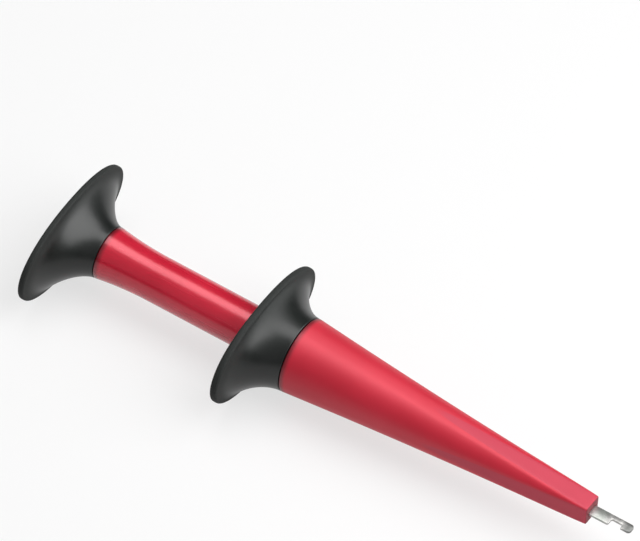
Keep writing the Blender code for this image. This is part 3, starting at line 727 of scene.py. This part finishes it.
class Finish:
    """A piece's material, with the place on the piece and its parts along and across the axis."""

    def __init__(self, name, **constants):
        self.material = bpy.data.materials.new(name)
        self.material.use_nodes = True
        self.tree = self.material.node_tree
        self.shader = self.tree.nodes["Principled BSDF"]
        for key, value in constants.items():
            plug(self.tree, self.shader.inputs[key.replace("_", " ")], value)
        self.surface = Field(self.tree, self.shader.outputs[0])
        self.place = self.surface.node("ShaderNodeTexCoord", output="Object")
        self.x = self.place.node("ShaderNodeSeparateXYZ", None, {0: self.place})
        self.y = self.x.other("Y")
        self.height = self.x.other("Z") - AXIS_Z

    def set(self, name, field):
        plug(self.tree, self.shader.inputs[name], field)

    def bump(self, *layers):
        """Raises the surface by (height pattern, metres) layers."""
        normal = None
        for pattern, height in layers:
            inputs = {"Height": pattern, "Distance": height, "Strength": 1.0}
            if normal is not None:
                inputs["Normal"] = normal
            normal = self.place.node("ShaderNodeBump", None, inputs)
        self.set("Normal", normal)


def red_plastic():
    """Red moulding: glossy on the stem; satin from handling on the nose, with a darker red there as
    painted shade; paler on its flats.

    It has faint clouds, orange peel and fine marks, and painted shade at the seams and on the end
    face.
    """
    finish = Finish(
        "red_gloss_plastic",
        IOR=1.6,
        Specular_IOR_Level=0.88,
        Specular_Tint=(1.0, 0.38, 0.43),
        Coat_Roughness=0.16,
    )
    place = finish.place
    clouds = place.noise(60, 3)
    peel = place.noise(420, 2)
    grain = place.noise(2600, 2)
    marks = place.stretched(30, 900, 900).noise(1, 4, 0.6).rise(0.60, 0.78)
    from_collar = finish.x - COLLAR_SEAM
    from_thumb = finish.x - THUMB_SEAM
    # The nose: real satin from handling in the roughness and coat, and a darker red there that is
    # painted shade
    handled_and_painted_shade = from_collar.rise(-2 * MM, 2 * MM)
    # Painted shade: a dark band on the red beside each grip seam, a shadow line in the joint
    painted_seam_shade = 1 - from_collar.size().least(from_thumb.size()).rise(0.40 * MM, 1.90 * MM)
    # Painted shade: the tip's end face darkened
    painted_end_face_shade = (finish.x - NOSE_TIP).rise(-0.22 * MM, -0.04 * MM)
    along = (finish.x - FLAT_START) / FLAT_LENGTH
    from_middle = finish.y.size().least(finish.height.size())
    half_flat = TIP_HALF_WIDTH * along.most(0.0) ** 0.5
    flats = (half_flat - from_middle).rise(-0.05 * MM, 0.35 * MM) * along.rise(0.02, 0.15)
    colour = clouds.rise(0.3, 0.7).between((0.51, 0.004, 0.024), (0.57, 0.008, 0.032))
    # Painted shade: a darker red over the nose
    colour = (handled_and_painted_shade * 0.35).between(colour, (0.40, 0.001, 0.012))
    colour = (flats * 0.55).between(colour, (0.35, 0.028, 0.060))
    # Painted shade at the grip seams
    colour = (painted_seam_shade * 0.90).between(colour, (0.08, 0.001, 0.004))
    # Painted shade on the end face
    colour = (painted_end_face_shade * 0.80).between(colour, (0.08, 0.001, 0.005))
    finish.set("Base Color", colour)
    rough = 0.24 + clouds * 0.05 + marks * 0.06 + handled_and_painted_shade * 0.25 + flats * 0.05
    finish.set("Roughness", rough)
    finish.set("Coat Weight", 0.25 - handled_and_painted_shade * 0.22)
    finish.bump((peel, 0.010 * MM), (grain * (0.25 + flats), 0.0025 * MM))
    return finish.material


def soft_rubber():
    """Black soft rubber: a fine eroded grain and dusty; duller at the rims, where a paler colour is
    a painted reflection.
    """
    finish = Finish("soft_black_rubber", Specular_IOR_Level=0.47)
    place = finish.place
    grain = place.noise(2200, 3, 0.6)
    clouds = place.noise(90, 3)
    dust = place.noise(700, 5, 0.7).rise(0.58, 0.75)
    across = (finish.y / GRIP_HALF_WIDTH) ** 2
    upright = (finish.height / GRIP_HALF_HEIGHT) ** 2
    # The rims: real dullness in the roughness, and a painted reflection that makes their colour
    # paler
    rim = (across + upright).rise(0.60, 0.95)
    colour = clouds.rise(0.3, 0.7).between((0.0020, 0.0032, 0.0027), (0.0040, 0.0058, 0.0050))
    # Painted reflection: the rims paler; the dust is real
    colour = (rim * 0.12 + dust * 0.06).between(colour, (0.026, 0.029, 0.027))
    finish.set("Base Color", colour)
    finish.set("Roughness", 0.31 + clouds * 0.06 + rim * 0.46 + dust * 0.05)
    finish.bump((clouds, 0.02 * MM), (grain, 0.006 * MM))
    return finish.material


def hard_plastic():
    """Hard black moulding with a light satin grain."""
    finish = Finish("hard_black_plastic", Specular_IOR_Level=0.45)
    grain = finish.place.noise(1900, 3, 0.6)
    clouds = finish.place.noise(120, 2)
    finish.set("Base Color", clouds.between((0.010, 0.010, 0.011), (0.022, 0.022, 0.023)))
    finish.set("Roughness", 0.34 + clouds * 0.14)
    finish.bump((grain, 0.004 * MM))
    return finish.material


def bearing_plastic():
    """Natural bearing plastic: milky, waxy, with faint turning lines."""
    finish = Finish("natural_bearing_plastic")
    clouds = finish.place.noise(150, 3)
    lines = finish.place.stretched(2600, 1, 1).noise(1, 1)
    finish.set("Base Color", clouds.between((0.62, 0.60, 0.53), (0.74, 0.72, 0.66)))
    finish.set("Roughness", 0.32 + clouds * 0.12)
    finish.bump((lines, 0.003 * MM))
    return finish.material


def nickel_plate():
    """Nickel plate on the stamped hook: rolled grain along it, darker at the shoulder, and painted
    shade on the bill's end.
    """
    finish = Finish("nickel_plate", Metallic=1.0)
    place = finish.place
    rolled = place.stretched(180, 5200, 5200).noise(1, 4, 0.65)
    spots = place.noise(900, 3)
    shoulder_x = NOSE_TIP + 2.9 * MM
    shoulder = 1 - (finish.x - shoulder_x).size().rise(0.6 * MM, 2.2 * MM)
    # Painted shade: the bill's end darkened
    bill_x = HOOK_END - 2.0 * MM
    end = (finish.x - bill_x).rise(-0.9 * MM, 0.9 * MM)
    colour = spots.rise(0.35, 0.7).between((0.34, 0.335, 0.325), (0.47, 0.465, 0.45))
    colour = (shoulder * 0.55).between(colour, (0.27, 0.30, 0.27))
    # Painted shade on the bill's end
    colour = (end * 0.8).between(colour, (0.13, 0.135, 0.13))
    finish.set("Base Color", colour)
    finish.set("Roughness", 0.26 + rolled * 0.16 + spots * 0.05)
    finish.bump((rolled, 0.006 * MM), (spots, 0.004 * MM))
    return finish.material


def plated_brass():
    """Nickel over turned brass: fine rings from the lathe, and a warm tint where it is thin."""
    finish = Finish("plated_brass", Metallic=1.0)
    rings = finish.place.stretched(3200, 1, 1).noise(1, 2)
    spots = finish.place.noise(500, 3)
    thin = spots.rise(0.45, 0.8)
    finish.set("Base Color", thin.between((0.60, 0.58, 0.53), (0.62, 0.54, 0.38)))
    finish.set("Roughness", 0.20 + rings * 0.12 + spots * 0.06)
    finish.bump((rings, 0.004 * MM))
    return finish.material


def spring_steel():
    """Drawn wire and stamped strip: grey, with a light draw grain and oil stains."""
    finish = Finish("spring_steel", Metallic=1.0)
    drawn = finish.place.noise(1500, 4, 0.7)
    stains = finish.place.noise(240, 3).rise(0.5, 0.75)
    finish.set("Base Color", stains.between((0.48, 0.48, 0.48), (0.33, 0.31, 0.28)))
    finish.set("Roughness", 0.26 + drawn * 0.16 + stains * 0.08)
    finish.bump((drawn, 0.004 * MM))
    return finish.material


def rod_insulation():
    """Extruded sleeve: milky and smooth, with faint draw lines along it."""
    finish = Finish("rod_insulation")
    lines = finish.place.stretched(40, 3000, 3000).noise(1, 2)
    clouds = finish.place.noise(130, 2)
    finish.set("Base Color", clouds.between((0.56, 0.54, 0.47), (0.66, 0.64, 0.58)))
    finish.set("Roughness", 0.36 + lines * 0.12)
    finish.bump((lines, 0.004 * MM))
    return finish.material


def pale_paper():
    """White paper under the tool. The camera and reflections see it paler than it is lit."""
    paper = Finish("pale_paper", Roughness=0.9, Specular_IOR_Level=0.1)
    clouds = paper.place.noise(3, 2)
    paper.set("Base Color", clouds.between((0.79, 0.79, 0.79), (0.82, 0.82, 0.82)))
    camera_ray = paper.place.node("ShaderNodeLightPath", output="Is Camera Ray")
    seen = camera_ray.most(camera_ray.other("Is Glossy Ray"))
    seen = seen.most(camera_ray.other("Is Transmission Ray"))
    white = {"Color": (1.0, 1.0, 1.0), "Strength": 1.0}
    glow = paper.place.node("ShaderNodeEmission", None, white)
    shaders = {0: seen * 0.68, 1: paper.surface, 2: glow}
    both = paper.place.node("ShaderNodeMixShader", None, shaders)
    plug(paper.tree, paper.tree.nodes["Material Output"].inputs["Surface"], both)
    return paper.material


def dress(obj, material):
    """Puts the material in the piece's slots, or in a first slot if it has none."""
    if not obj.data.materials:
        obj.data.materials.append(material)
    for slot in obj.material_slots:
        slot.material = material


# The studio
def camera():
    """The photograph's view: from above on the tool's right, far off, its nose down right."""
    towards = Vector((0.31, -0.5655, 0.7643)).normalized()
    right = Vector((0.8398, 0.5398, 0.0588))
    right = (right - towards * right.dot(towards)).normalized()
    up = towards.cross(right)
    # The picture's middle is counted from the seam of the thumb grip
    thumb_seam = Vector((THUMB_SEAM, 0.0, AXIS_Z))
    centre = thumb_seam + right * 53.05 * MM - up * 4.53 * MM
    distance = 5.0
    view_width = 160 * MM
    lens = bpy.data.cameras.new("photo_camera")
    lens.sensor_width = 36.0
    lens.lens = lens.sensor_width * distance / view_width
    lens.clip_start = 0.5
    lens.clip_end = 20.0
    eye = bpy.data.objects.new("photo_camera", lens)
    turn = Matrix((right, up, towards)).transposed().to_4x4()
    eye.matrix_world = Matrix.Translation(centre + towards * distance) @ turn
    bpy.context.scene.collection.objects.link(eye)
    bpy.context.scene.camera = eye


def soft_box(name, direction, distance, width, depth, radiance, along=(1.0, 0.0, 0.0)):
    """A soft light that faces the tool, long along one direction, of so much radiance.

    One lamp is what gloss mirrors. The other lights surfaces, a little less, so that colours
    come out as set. They stand a little apart, because lamps in one place share their light.
    """
    towards = Vector(direction).normalized()
    side = Vector(along)
    side = (side - towards * side.dot(towards)).normalized()
    turn = Matrix((side, towards.cross(side), towards)).transposed().to_4x4()
    for share, for_gloss, ahead in ((1.0, True, 0.0), (0.7, False, 2 * MM)):
        place = Vector((0.0, 0.0, AXIS_Z)) + towards * (distance - ahead)
        lamp = bpy.data.lights.new(name, "AREA")
        lamp.shape = "RECTANGLE"
        lamp.size = width
        lamp.size_y = depth
        lamp.energy = share * radiance * math.pi * width * depth
        box = bpy.data.objects.new(name, lamp)
        box.matrix_world = Matrix.Translation(place) @ turn
        box.visible_camera = False
        box.visible_glossy = for_gloss
        box.visible_diffuse = not for_gloss
        bpy.context.scene.collection.objects.link(box)


def studio():
    """A pale room, three soft lights and a paper floor."""
    world = bpy.data.worlds.new("pale_room")
    world.use_nodes = True
    background = world.node_tree.nodes["Background"]
    background.inputs["Color"].default_value = (1.0, 1.0, 1.0, 1.0)
    background.inputs["Strength"].default_value = 0.12
    bpy.context.scene.world = world
    overhead = (-0.24, 0.16, 0.957)
    soft_box("overhead_box", overhead, distance=0.54, width=0.36, depth=0.33, radiance=4.1)
    past_the_tip = (0.58, 0.27, 0.77)
    across = (0.80, 0.0, -0.60)
    soft_box("end_box", past_the_tip, 0.55, width=0.62, depth=0.66, radiance=4.4, along=across)
    in_front = (0.10, -0.66, 0.74)
    soft_box("front_fill", in_front, distance=1.4, width=2.6, depth=2.0, radiance=0.34)

    bpy.ops.object.select_all(action="DESELECT")
    bpy.ops.mesh.primitive_plane_add(size=6.0, location=(0.0, 0.0, 0.0))
    floor = bpy.context.active_object
    floor.name = "pale_floor"
    dress(floor, pale_paper())


def build():
    """Dresses the solids, puts the finer pieces in place of nine of them and sets the studio."""
    finishes = {
        "red_plastic": red_plastic(),
        "soft_rubber": soft_rubber(),
        "hard_plastic": hard_plastic(),
        "bearing_plastic": bearing_plastic(),
        "plated_steel": nickel_plate(),
        "plated_brass": plated_brass(),
        "spring_steel": spring_steel(),
        "rod_insulation": rod_insulation(),
    }
    slots = {part["node"]: part["material_slot"] for part in frame["record"]["subparts"]}
    for name, node in frame["nodes"].items():
        dress(node, finishes[slots[name]])

    pieces = {
        "thumb_grip": (thumb_grip, "plunger"),
        "plunger_tube": (plunger_tube, "plunger"),
        "jack_insulator": (jack_insulator, "plunger"),
        "contact_socket": (contact_socket, "plunger"),
        "hook_blade": (hook_blade, "plunger"),
        "finger_grip": (finger_grip, "barrel"),
        "collar_core": (collar_core, "barrel"),
        "guide_bush": (guide_bush, "barrel"),
        "nose_shell": (nose_shell, "barrel"),
    }
    for node, (make, body) in pieces.items():
        piece = make()
        dress(piece, finishes[slots[node]])
        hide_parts(node)
        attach(piece, body)

    studio()
    camera()
    bpy.context.scene.view_settings.view_transform = "Standard"


build()
